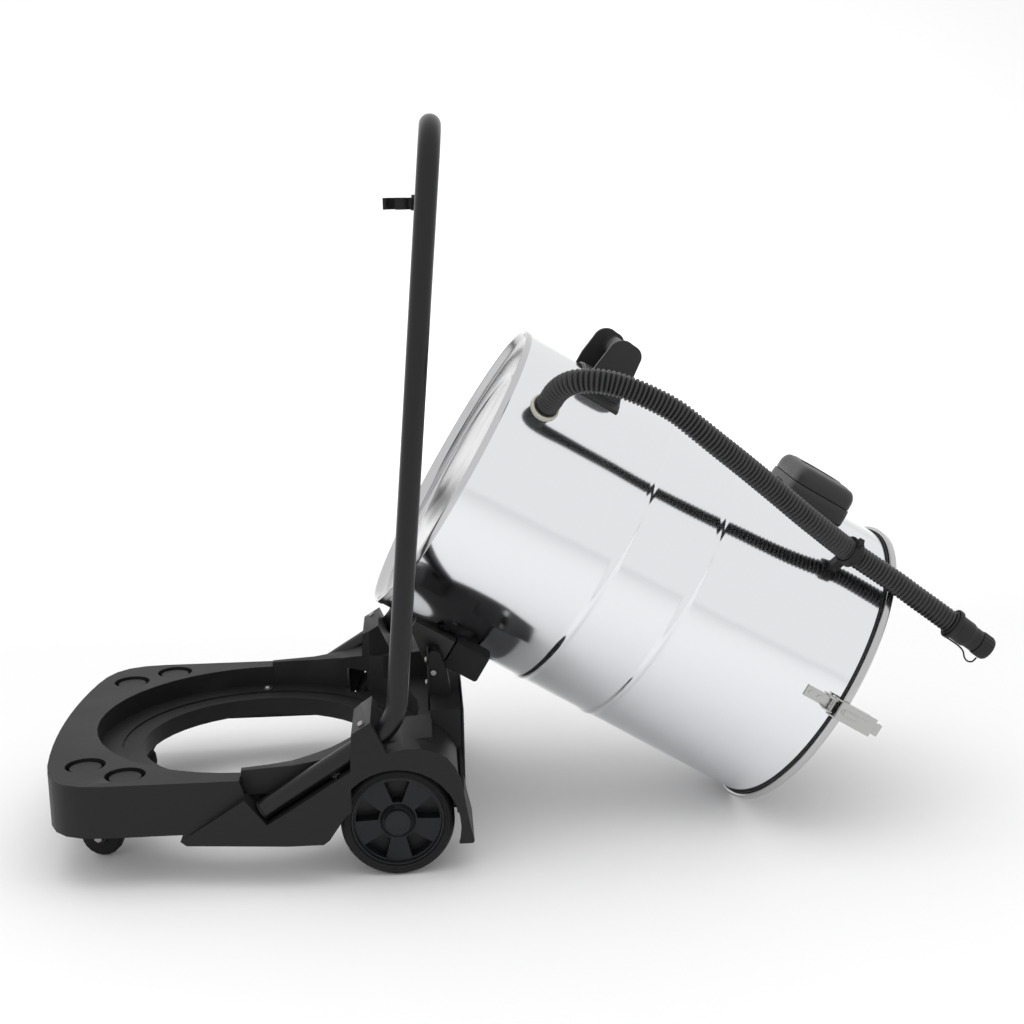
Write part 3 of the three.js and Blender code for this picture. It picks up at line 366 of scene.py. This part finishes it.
def on_end(profile, around, wave=None):
    """A turned surface about the hose's far end."""
    return lathe(profile, around, end_point, end_ahead, end_side, end_up, wave)


fitting_black, shader, place = finish("fitting_plastic", (0.010, 0.010, 0.011), 0.45, specular=0.3)
feed(shader, "Roughness", 0.38 + 0.16 * noise(place, 80.0))
bump(shader, noise(place, 1400.0, 2.0), 0.15, 0.0002)
cuff_profile = [[0, 0.0004], [0.0178, 0.0004], [0.0186, 0.004], [0.0184, 0.033], [0.0166, 0.038],
                [0.0166, 0.0502], [0, 0.0502]]
cuff = piece(skin("hose_cuff_sleeve", on_end(rounded(cuff_profile, 0.0012), 48), round_columns=True),
             fitting_black, "tank", "hose_black", "hose_cuff")


def knurl(radius, angle):
    """The cap's grip: the radius dips by a rounded wave on the cap's side and not on its faces."""
    on_side = np.clip((radius - 0.0150) / 0.002, 0, 1)
    return radius - 0.0009 * on_side * (0.5 + 0.5 * np.cos(18 * angle))


cap_profile = [[0, 0.0510], [0.0172, 0.0510], [0.0178, 0.053], [0.0178, 0.068], [0.0158, 0.0716],
               [0.0105, 0.0716], [0.0098, 0.0706], [0, 0.0706]]
cap = piece(skin("knurled_drain_cap", on_end(rounded(cap_profile, 0.0010), 144, knurl), round_columns=True),
            fitting_black, "drain_cap", "hose_black", "drain_cap")
strand_rows = np.array([
    [0.008, -0.0206, 0], [0.020, -0.0200, 0.001], [0.034, -0.0200, 0.001], [0.044, -0.0225, 0],
    [0.052, -0.0285, -0.001], [0.059, -0.0300, -0.001], [0.064, -0.0265, 0], [0.0655, -0.0185, 0]])
strand_line = end_point + strand_rows @ np.array([end_ahead, end_up, end_side])
strap_loop = skin("strap_strand", capped(tube(smooth_line(strand_line, 8), 0.0012, 14)), round_columns=True)
strap_ring = skin("strap_ring", on_end(rounded([[0.0188, 0.0035], [0.0222, 0.0035], [0.0222, 0.0105],
                                                [0.0188, 0.0105]], 0.0014, closed=True), 64),
                  round_columns=True, round_rows=True)


def together(name, *meshes):
    """One mesh that holds several closed bodies."""
    whole = bmesh.new()
    for mesh in meshes:
        whole.from_mesh(mesh)
    made = bpy.data.meshes.new(name)
    whole.to_mesh(made)
    whole.free()
    return made


strap = piece(together("cap_strap_and_loop", strap_ring, strap_loop), fitting_black, "tank",
              "hose_black", "cap_strap")

# ---- Tank wall -----------------------------------------------------------------------------------
# A drum of thin stainless sheet, rolled with two ribs and polished almost to a mirror. It is one
# closed skin, outside and inside, with a round hole cut for the inlet and one for the drain.
tank_radius, sheet, tank_length = 0.220, 0.0012, 0.617
inlet_height, drain_height, drain_degrees = 0.481, 0.056, 46.0
rib_heights = (0.235, 0.346)
even_heights = np.linspace(0.003, tank_length - 0.003, 90)
close_heights = [np.linspace(rib - 0.009, rib + 0.009, 25) for rib in rib_heights]
wall_heights = np.unique(np.round(np.concatenate([even_heights, *close_heights]), 4))
wall_angles = np.arange(240) * 1.5
high_at, angle_at = np.meshgrid(wall_heights, wall_angles, indexing="ij")
cell_high = np.broadcast_to((wall_heights[:-1] + wall_heights[1:])[:, None] / 2, (len(wall_heights) - 1, 240))
cell_angle = np.broadcast_to(wall_angles + 0.75, cell_high.shape)
cut = np.zeros(cell_high.shape, bool)


def arc_from(angle, degrees):
    """How far round the wall an angle is from another, in metres and never more than half way."""
    return np.radians((angle - degrees + 180) % 360 - 180) * tank_radius


for height, degrees, radius in ((inlet_height, 0.0, 0.033), (drain_height, drain_degrees, 0.0145)):
    hole = np.hypot(cell_high - height, arc_from(cell_angle, degrees)) < radius
    cut |= hole
    padded_hole = np.zeros((len(wall_heights) + 1, 240), bool)
    padded_hole[1:-1] = hole
    corners = np.stack([padded_hole[:-1], padded_hole[1:], np.roll(padded_hole[:-1], 1, 1),
                        np.roll(padded_hole[1:], 1, 1)])
    edge = corners.any(axis=0) & ~corners.all(axis=0)
    far_up, far_round = high_at - height, arc_from(angle_at, degrees)
    stretch = radius / np.maximum(np.hypot(far_up, far_round), 1e-6)
    high_at = np.where(edge, height + far_up * stretch, high_at)
    angle_at = np.where(edge, degrees + np.degrees(far_round * stretch / tank_radius), angle_at)
rib_rise, rib_half_width = 0.0022, 0.0075
swell = np.zeros(high_at.shape)
for rib in rib_heights:
    from_rib = np.clip(np.abs(high_at - rib) / rib_half_width, 0, 1)
    swell += rib_rise / 2 * (1 + np.cos(math.pi * from_rib))
index = np.arange(high_at.size).reshape(high_at.shape)
beside = np.roll(index, -1, axis=1)
kept = ~cut
outer_quads = np.stack([index[:-1], beside[:-1], beside[1:], index[1:]], axis=-1)[kept]
cut_beside = cut != np.roll(cut, -1, axis=1)
cut_above = cut[:-1] != cut[1:]
seams = np.concatenate([
    np.stack([beside[:-1], beside[1:]], axis=-1)[cut_beside],
    np.stack([index[1:-1], beside[1:-1]], axis=-1)[cut_above],
    np.stack([index[0], beside[0]], axis=-1),
    np.stack([index[-1], beside[-1]], axis=-1)])
inward = index.size
wall_quads = np.concatenate([outer_quads, outer_quads[:, ::-1] + inward,
                             np.concatenate([seams, seams[:, ::-1] + inward], axis=1)])
wall_points = np.concatenate([on_drum(high_at, tank_radius + swell - skin_depth, angle_at).reshape(-1, 3)
                              for skin_depth in (0.0, sheet)])
wall = bpy.data.meshes.new("polished_tank_wall")
wall.from_pydata(wall_points.tolist(), [], wall_quads.tolist())

mirror_steel, shader, place = finish("mirror_sheet", (0.80, 0.81, 0.83), 0.10, metallic=1.0)
clouds = noise(place, 6.0)
feed(shader, "Roughness", 0.07 + 0.07 * clouds)
bump(shader, noise(place, 7.0, 1.0), 0.35, 0.004)
piece(tidy_mesh(wall, 40), mirror_steel, "tank", "mirror_steel", "tank_shell")

# ---- Tank rim, gasket and bottom -----------------------------------------------------------------
# A polished band is rolled over the mouth's edge with a black gasket below it. The pressed bottom is
# a shallow dish whose edge is seamed round the wall's lower end.
drum_marks = tipped([[0, 0, 0], [-1, 0, 0], [0, -1, 0], [0, 0, 1]])
drum_out, drum_left, drum_axis = drum_marks[1:] - drum_marks[0]


def about_drum(profile, around, wave=None):
    """A turned surface about the tank's axis; distances are above its bottom."""
    return lathe(profile, around, drum_marks[0], drum_axis, drum_out, drum_left, wave)


polished, shader, place = finish("polished_band", (0.50, 0.50, 0.50), 0.14, metallic=1.0)
feed(shader, "Roughness", 0.10 + 0.12 * noise(place, 25.0))
rim_profile = np.array([[220.5, -12], [227.5, -12], [227.5, -2.5], [225, 0], [219, 0], [216, -2.4],
                        [216, -10], [218, -10], [218, -2.5], [220.5, -2.5]]) / 1000 + [0, tank_length]
piece(skin("rolled_rim_band", about_drum(rounded(rim_profile, 0.0016, closed=True), 240), True, True),
      polished, "tank", "mirror_steel", "rim_band")
soft_black, shader, place = finish("gasket_rubber", (0.012, 0.012, 0.013), 0.7)
bump(shader, noise(place, 700.0), 0.2, 0.0003)
gasket_profile = np.array([[220.5, -14.8], [222.6, -14.8], [222.6, -12.4], [220.5, -12.4]]) / 1000
gasket_profile += [0, tank_length]
piece(skin("rim_gasket_ring", about_drum(rounded(gasket_profile, 0.0006, closed=True), 200), True, True),
      soft_black, "tank", "moulded_black", "rim_gasket")
dish_profile = np.array([[0, 17], [150, 17], [158, 13.6], [205, 13.6], [213, 10], [218.2, 0], [221.4, 0],
                         [221.4, 9], [220.5, 9], [220.5, 1.4], [219.2, 1.4], [214.4, 11.4], [206, 15],
                         [159, 15], [151, 18.4], [0, 18.4]]) / 1000
# The dish's steel is coloured darker than the wall's same steel: painted shade for its dark reflections.
shaded_pressed_sheet, shader, place = finish("pressed_sheet", (0.56, 0.56, 0.57), 0.16, metallic=1.0)
feed(shader, "Roughness", 0.12 + 0.12 * noise(place, 14.0))
bump(shader, noise(place, 9.0, 1.0), 0.4, 0.004)
piece(skin("pressed_tank_bottom", about_drum(rounded(dish_profile, 0.003), 240), True),
      shaded_pressed_sheet, "tank", "mirror_steel", "tank_bottom")

# ---- Push handle ---------------------------------------------------------------------------------
# One steel tube, 28 mm across and painted gloss black, bent at four corners: two legs that slope up
# out of the wheel arches, two uprights and the crossbar between them.
leg_foot, leg_corner, crossbar_end = (0.027, 0.105), (0.203, 0.215), (0.270, 0.980)
handle_y = 0.258
tube_radius = 0.014


def bent(corners, radius, steps):
    """Straights joined by true arcs. An arc leaves a corner's arms at the radius over the tangent of
    half their angle, and its centre is the radius over the sine of it along their bisector."""
    line = [corners[0]]
    for before, corner, after in zip(corners, corners[1:], corners[2:]):
        back, on = (np.array(q) - corner for q in (before, after))
        back, on = back / np.linalg.norm(back), on / np.linalg.norm(on)
        half = math.acos(back @ on) / 2
        middle = (back + on) / np.linalg.norm(back + on)
        centre = corner + middle * radius / math.sin(half)
        first = corner + back * radius / math.tan(half) - centre
        last = corner + on * radius / math.tan(half) - centre
        sweep = math.pi - 2 * half
        u = np.linspace(0, 1, steps + 1)[:, None]
        arc = (first * np.sin((1 - u) * sweep) + last * np.sin(u * sweep)) / math.sin(sweep)
        line.extend(centre + arc)
    line.append(corners[-1])
    return np.array(line)


near_side = [np.array([seat_x + x, -handle_y, z]) for x, z in (leg_foot, leg_corner, crossbar_end)]
far_side = [corner * [1, -1, 1] for corner in near_side[::-1]]
handle_line = bent(near_side + far_side, 0.062, 20)
gloss_black, shader, place = finish("gloss_paint", (0.004, 0.004, 0.005), 0.32, coat=0.15, specular=0.28)
feed(shader, "Roughness", 0.26 + 0.12 * noise(place, 30.0))
bump(shader, noise(place, 260.0, 2.0), 0.05, 0.0005)
piece(skin("bent_push_handle", capped(tube(handle_line, tube_radius, 48)), True), gloss_black, "trolley",
      "gloss_tube", "push_handle")

# ---- Trolley base --------------------------------------------------------------------------------
# One black moulding: the deck with its round seat, the swelling side panels, the wheel arches and the
# rear wall with its hinge towers. Its edges are rounded and its faces have a fine moulded grain.
body_with = {node: body for body, nodes in frame["record"]["behaviour"]["bodies"].items() for node in nodes}


def eased(node, name, material, slot, width, segments=2, flat=1.0):
    """A finished copy of a plain piece: its flat faces are joined up, and its edges are rounded."""
    shape = bmesh.new()
    shape.from_mesh(frame["nodes"][node].data)
    bmesh.ops.remove_doubles(shape, verts=shape.verts, dist=2e-5)
    bmesh.ops.dissolve_limit(shape, angle_limit=math.radians(flat), verts=shape.verts, edges=shape.edges)
    mesh = bpy.data.meshes.new(name)
    shape.to_mesh(mesh)
    shape.free()
    made = piece(tidy_mesh(mesh, 30), material, body_with[node], slot, node)
    edges = made.modifiers.new("rounded_edges", "BEVEL")
    edges.width, edges.segments, edges.limit_method = width, segments, "ANGLE"
    edges.angle_limit = math.radians(32)
    edges.harden_normals = True
    edges.miter_outer = "MITER_ARC"
    return made


moulded_black, shader, place = finish("moulded_plastic", (0.009, 0.009, 0.010), 0.5, specular=0.24)
cloud = noise(place, 12.0)
feed(shader, "Base Color", blend((0.008, 0.008, 0.009), (0.011, 0.011, 0.012), cloud))
feed(shader, "Roughness", 0.44 + 0.14 * cloud)
bump(shader, noise(place, 1100.0, 2.0), 0.18, 0.0003)
eased("trolley_base", "moulded_trolley_base", moulded_black, "moulded_black", 0.0028, 3)

# ---- Rear panel and hinge ------------------------------------------------------------------------
# A smooth plastic sheet closes the rear wall. Inside it a painted steel leaf is screwed to the wall,
# and a steel pin between the towers carries the tank's folded bracket and its moulded block.
panel_black, shader, place = finish("panel_plastic", (0.009, 0.010, 0.012), 0.36, specular=0.26)
feed(shader, "Roughness", 0.28 + 0.12 * noise(place, 18.0))
bump(shader, noise(place, 900.0, 2.0), 0.08, 0.0003)
zinc, shader, place = finish("zinc_plate", (0.36, 0.35, 0.34), 0.34, metallic=1.0)
feed(shader, "Roughness", 0.24 + 0.20 * noise(place, 120.0))
bump(shader, noise(place, 240.0), 0.12, 0.0005)
dark_zinc, shader, place = finish("dark_zinc_plate", (0.045, 0.044, 0.043), 0.4, metallic=1.0)
feed(shader, "Roughness", 0.32 + 0.16 * noise(place, 90.0))
bump(shader, noise(place, 240.0), 0.12, 0.0005)
painted_steel, shader, place = finish("painted_steel", (0.007, 0.007, 0.008), 0.4, specular=0.3)
feed(shader, "Roughness", 0.32 + 0.14 * noise(place, 60.0))
bump(shader, noise(place, 500.0), 0.08, 0.0004)
eased("rear_panel", "smooth_rear_panel", panel_black, "panel_black", 0.0015)
eased("hinge_plate", "hinge_leaf", painted_steel, "black_steel", 0.0005)
eased("hinge_pin", "hinge_pin_rod", zinc, "zinc_steel", 0.0005)
eased("hinge_bracket", "folded_hinge_bracket", dark_zinc, "zinc_steel", 0.0004)
eased("hinge_block", "moulded_hinge_block", moulded_black, "moulded_black", 0.0016)
for i in (1, 2, 3, 4):
    eased(f"hinge_screw_{i}", f"leaf_screw_{i}", zinc, "zinc_steel", 0.0003)
for i in (1, 2):
    eased(f"block_screw_{i}", f"block_bolt_{i}", painted_steel, "black_steel", 0.0003)

# ---- Small fixings of the trolley ----------------------------------------------------------------
# A round-headed screw on a washer each side of the seat, a screw through each handle boss, a plug in
# each end of the handle's tube, and the spring clip on the far upright that holds the wand.
for side in ("near", "far"):
    eased(f"seat_screw_{side}", f"seat_screw_and_washer_{side}", zinc, "zinc_steel", 0.0004)
    eased(f"clamp_screw_{side}", f"boss_screw_{side}", zinc, "zinc_steel", 0.0003)
    eased(f"handle_plug_{side}", f"tube_plug_{side}", moulded_black, "moulded_black", 0.0006)
eased("wand_clip", "spring_wand_clip", moulded_black, "moulded_black", 0.0010)

# ---- Rear wheels ---------------------------------------------------------------------------------
# Each wheel is a black moulded centre with five pockets between wide spokes, a solid rubber tyre and
# a domed hub cap, and the pair turn on one steel axle.
rubber, shader, place = finish("solid_rubber", (0.008, 0.008, 0.009), 0.62, specular=0.22)
feed(shader, "Roughness", 0.54 + 0.18 * noise(place, 60.0))
bump(shader, noise(place, 600.0), 0.2, 0.0004)
wheel_centre = np.array([seat_x + 0.201, 0.0, 0.076])


def on_axle(profile, around, side):
    """A turned surface about the rear axle; distances are from the middle plane towards a side."""
    return lathe(np.array(profile) / 1000, around, wheel_centre, np.array([0, side, 0]),
                 np.array([1.0, 0, 0]), np.array([0, 0, 1.0]))


tyre_profile = np.array([[62.4, 211], [68, 210], [73, 212], [76, 218], [76, 248], [73, 254], [69.5, 256],
                         [68.3, 255.2], [66.8, 255.2], [65.6, 256], [62.4, 254]])
cap_dome = [[0, 254.4], [19, 254.4], [19.2, 256], [17.6, 258.6], [13.5, 261], [7, 262.3], [0, 262.7]]
for name, side in (("near", -1), ("far", 1)):
    body = f"rear_wheel_{name}"
    tyre_rings = on_axle(rounded(tyre_profile, 1.4, closed=True), 128, side)
    piece(skin(f"solid_tyre_{name}", tyre_rings, True, True), rubber, body, "tread_rubber",
          f"rear_tyre_{name}")
    eased(f"rear_wheel_{name}", f"five_spoke_wheel_{name}", panel_black, "panel_black", 0.0010)
    dome_rings = on_axle(rounded(cap_dome, 0.9), 64, side)
    piece(skin(f"domed_hub_cap_{name}", dome_rings, True), panel_black, body, "panel_black",
          f"hub_cap_{name}")
eased("rear_axle", "steel_rear_axle", zinc, "zinc_steel", 0.0006)

# ---- Front casters -------------------------------------------------------------------------------
# Each caster is a plated race, a black fork that swivels below it, and a rubber wheel that rolls on
# a bolt with a hexagon head.
for name in ("near", "far"):
    eased(f"caster_race_{name}", f"plated_caster_race_{name}", zinc, "zinc_steel", 0.0008)
    eased(f"caster_fork_{name}", f"swivel_fork_{name}", painted_steel, "black_steel", 0.0006)
    eased(f"caster_wheel_{name}", f"caster_roller_{name}", rubber, "tread_rubber", 0.0012, 3)
    eased(f"caster_bolt_{name}", f"caster_axle_bolt_{name}", zinc, "zinc_steel", 0.0005)

# ---- Tilt handle ---------------------------------------------------------------------------------
# A black moulded grip low on the tank's front: two rounded cheeks, a bar between them and a curved
# flange riveted to the wall.
grip_black, shader, place = finish("grip_plastic", (0.016, 0.016, 0.017), 0.42, specular=0.36)
feed(shader, "Roughness", 0.36 + 0.14 * noise(place, 40.0))
bump(shader, noise(place, 1000.0, 2.0), 0.15, 0.0003)
eased("tilt_handle", "moulded_tilt_handle", grip_black, "moulded_black", 0.0024, 3)

# ---- Inlet ---------------------------------------------------------------------------------------
# A skirt follows the tank's wall and a smooth domed cover sits on it. The socket for the suction
# hose passes through both, and a hood inside the tank turns the flow down.
ring_angle = np.linspace(0, 2 * math.pi, 144, endpoint=False)
block_reach = (np.abs(np.cos(ring_angle) / 0.047) ** 7 + np.abs(np.sin(ring_angle) / 0.075) ** 7) ** (-1 / 7)


def block_rings(rows):
    """Rings of a rounded block on the tank's front. A row is the outline's scale, the distance from
    the tank's axis, and how far the outline has gone over to a circle of 31 mm; a distance of zero
    is the wall itself."""
    rings = []
    for scale, distance, roundness in rows:
        reach = (1 - roundness) * block_reach * scale + roundness * 0.0306 * scale
        y = reach * np.sin(ring_angle)
        out = np.sqrt(0.2208**2 - y**2) if distance == 0 else np.full_like(y, distance)
        rings.append(np.stack([-out, y, inlet_height + reach * np.cos(ring_angle)], axis=-1))
    return tipped(np.array(rings))


inlet_black, shader, place = finish("inlet_plastic", (0.018, 0.018, 0.019), 0.42, specular=0.4)
feed(shader, "Roughness", 0.36 + 0.12 * noise(place, 24.0))
bump(shader, noise(place, 1000.0, 2.0), 0.12, 0.0003)
skirt_rows = [(1.03, 0, 0), (1.025, 0.2225, 0), (1.02, 0.2290, 0), (1.005, 0.2308, 0), (0.93, 0.2308, 0),
              (0.93, 0, 0)]
piece(skin("inlet_skirt", block_rings(skirt_rows), True, True), inlet_black, "tank", "moulded_black",
      "inlet_base")
turn_in = np.linspace(0, math.pi / 2, 12)
cover_rows = [(0.975, 0.2314, 0), (0.99, 0.2322, 0), (0.99, 0.2400, 0)]
cover_rows += [(0.79 + 0.20 * math.cos(u), 0.2400 + 0.0175 * math.sin(u), 0) for u in turn_in]
cover_rows += [(0.70, 0.2588, 0), (0.66, 0.2594, 0.5), (1.10, 0.2597, 1), (1.03, 0.2594, 1),
               (1.0, 0.2580, 1), (1.0, 0.2314, 1)]
piece(skin("domed_inlet_cover", block_rings(cover_rows), True, True, 45), inlet_black, "tank",
      "moulded_black", "inlet_cover")
eased("inlet_socket", "inlet_socket_ring", moulded_black, "moulded_black", 0.0008)
eased("inlet_deflector", "inlet_hood", moulded_black, "moulded_black", 0.0012)

# ---- Drain stub and hose clip --------------------------------------------------------------------
# A threaded stub passes through the wall, with a pale seal under its collar and a nut inside. Near
# the rim a moulded clip holds the hose to the wall.
pale_seal, shader, place = finish("pale_rubber", (0.50, 0.49, 0.42), 0.6)
feed(shader, "Roughness", 0.5 + 0.2 * noise(place, 90.0))
bump(shader, noise(place, 400.0), 0.15, 0.0004)
eased("drain_stub", "drain_stub_collar", moulded_black, "moulded_black", 0.0008)
eased("drain_seal", "pale_drain_seal", pale_seal, "pale_seal", 0.0006)
eased("drain_nut", "drain_back_nut", moulded_black, "moulded_black", 0.0008)
eased("hose_clip", "moulded_hose_clip", moulded_black, "moulded_black", 0.0008)

# ---- Latches -------------------------------------------------------------------------------------
# A toggle latch at each side of the rim: a riveted base, a stamped lever that turns on its pin and a
# wire hook that would catch the suction head.
bright, shader, place = finish("bright_plate", (0.44, 0.44, 0.43), 0.2, metallic=1.0)
feed(shader, "Roughness", 0.14 + 0.16 * noise(place, 150.0))
bump(shader, noise(place, 150.0), 0.3, 0.0015)
loop_plan = np.array([[-3.2, 632], [-3.4, 622], [-3.6, 612], [-2.6, 607.6], [0, 606], [2.6, 607.6],
                      [3.6, 612], [3.4, 622], [3.2, 632]]) / 1000
for name, side in (("near", 1), ("far", -1)):
    upright = np.stack([loop_plan[:, 0], np.full(9, -0.2383 * side), loop_plan[:, 1]], axis=-1)
    ridge = skin(f"latch_loop_{name}", capped(tube(smooth_line(tipped(upright), 6), 0.0011, 12)), True)
    piece(ridge, bright, f"latch_lever_{name}", "zinc_steel")
    eased(f"latch_base_{name}", f"riveted_latch_base_{name}", bright, "zinc_steel", 0.0004)
    eased(f"latch_lever_{name}", f"stamped_latch_lever_{name}", bright, "zinc_steel", 0.0005)
    eased(f"latch_hook_{name}", f"latch_wire_hook_{name}", bright, "zinc_steel", 0.0005)
